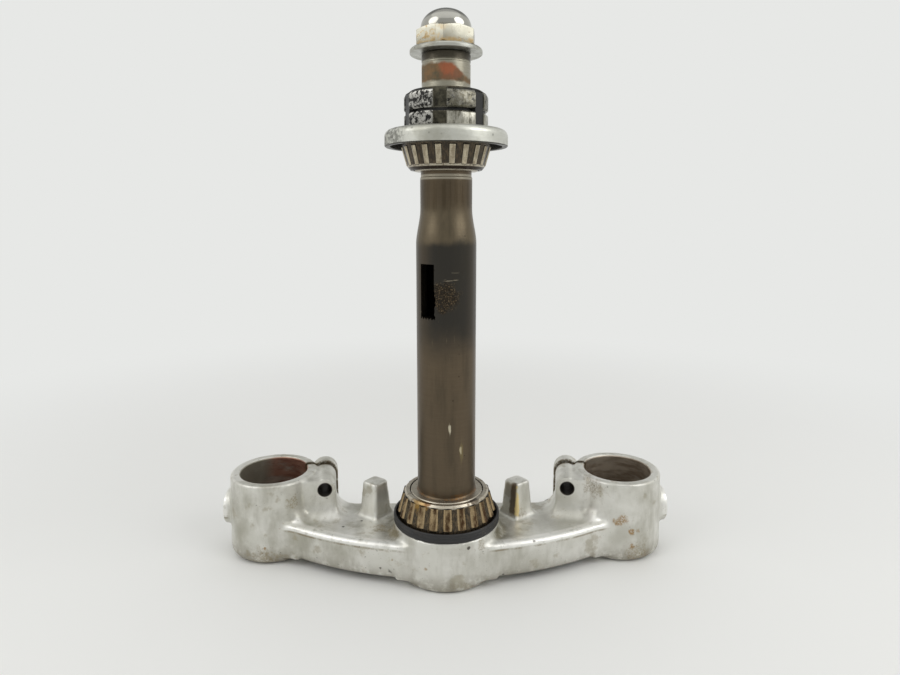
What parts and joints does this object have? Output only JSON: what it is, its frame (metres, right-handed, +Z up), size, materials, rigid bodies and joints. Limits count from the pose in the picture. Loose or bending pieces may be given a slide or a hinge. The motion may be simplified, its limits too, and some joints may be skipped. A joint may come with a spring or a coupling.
{
  "type": "motorcycle triple clamp",
  "caption": "Cast lower fork bridge with split clamp rings, steering stops and a hollow steel stem carrying tapered roller head bearings, dust cover, ring nuts, washer and domed cap nut.",
  "frame": {"origin": "on the stem axis, in the plane that the clamp stands on", "axes": "+Z up the stem axis, +X to the right as seen from behind, +Y in the riding direction, towards the fork tubes"},
  "size_m": [0.278, 0.0885, 0.3181],
  "materials": {
    "cast_aluminium": "satin silver paint over cast aluminium, stained and pitted",
    "stem_steel": "dark oiled steel with grey-brown patina",
    "seal_rubber": "matt black rubber",
    "bearing_steel": "ground steel with brown grease stains",
    "cage_steel": "pressed steel, stained",
    "lower_roller_steel": "ground steel stained brown by old grease",
    "upper_roller_steel": "ground steel, lightly stained",
    "cover_zinc": "dull zinc plate with dirt specks",
    "nut_steel": "black finish worn through to bare steel",
    "lock_washer_black": "black oiled spring steel",
    "washer_zinc": "zinc plate",
    "cap_nut_chrome": "chrome plate with rust bands"
  },
  "bodies": {
    "clamp": {"lower_bridge": "cast_aluminium", "steering_stem": "stem_steel", "lower_dust_seal": "seal_rubber", "lower_bearing_cone": "bearing_steel", "upper_bearing_cone": "bearing_steel", "upper_dust_cover": "cover_zinc", "adjusting_nut": "nut_steel", "lock_washer": "lock_washer_black", "lock_nut": "nut_steel", "stem_washer": "washer_zinc", "stem_cap_nut": "cap_nut_chrome"},
    "lower_cage_set": {"lower_bearing_cage": "cage_steel", "lower_roller_01": "lower_roller_steel", "lower_roller_02": "lower_roller_steel", "lower_roller_03": "lower_roller_steel", "lower_roller_04": "lower_roller_steel", "lower_roller_05": "lower_roller_steel", "lower_roller_06": "lower_roller_steel", "lower_roller_07": "lower_roller_steel", "lower_roller_08": "lower_roller_steel", "lower_roller_09": "lower_roller_steel", "lower_roller_10": "lower_roller_steel", "lower_roller_11": "lower_roller_steel", "lower_roller_12": "lower_roller_steel", "lower_roller_13": "lower_roller_steel", "lower_roller_14": "lower_roller_steel", "lower_roller_15": "lower_roller_steel", "lower_roller_16": "lower_roller_steel", "lower_roller_17": "lower_roller_steel", "lower_roller_18": "lower_roller_steel", "lower_roller_19": "lower_roller_steel", "lower_roller_20": "lower_roller_steel", "lower_roller_21": "lower_roller_steel"},
    "upper_cage_set": {"upper_bearing_cage": "cage_steel", "upper_roller_01": "upper_roller_steel", "upper_roller_02": "upper_roller_steel", "upper_roller_03": "upper_roller_steel", "upper_roller_04": "upper_roller_steel", "upper_roller_05": "upper_roller_steel", "upper_roller_06": "upper_roller_steel", "upper_roller_07": "upper_roller_steel", "upper_roller_08": "upper_roller_steel", "upper_roller_09": "upper_roller_steel", "upper_roller_10": "upper_roller_steel", "upper_roller_11": "upper_roller_steel", "upper_roller_12": "upper_roller_steel", "upper_roller_13": "upper_roller_steel", "upper_roller_14": "upper_roller_steel", "upper_roller_15": "upper_roller_steel", "upper_roller_16": "upper_roller_steel", "upper_roller_17": "upper_roller_steel", "upper_roller_18": "upper_roller_steel", "upper_roller_19": "upper_roller_steel", "upper_roller_20": "upper_roller_steel"}
  },
  "joints": [
    {"name": "lower_cage_spin", "type": "hinge", "parent": "clamp", "child": "lower_cage_set", "pos_m": [0, 0, 0.0405], "axis": [0, 0, 1], "continuous": true},
    {"name": "upper_cage_spin", "type": "hinge", "parent": "clamp", "child": "upper_cage_set", "pos_m": [0, 0, 0.241], "axis": [0, 0, 1], "continuous": true}
  ]
}
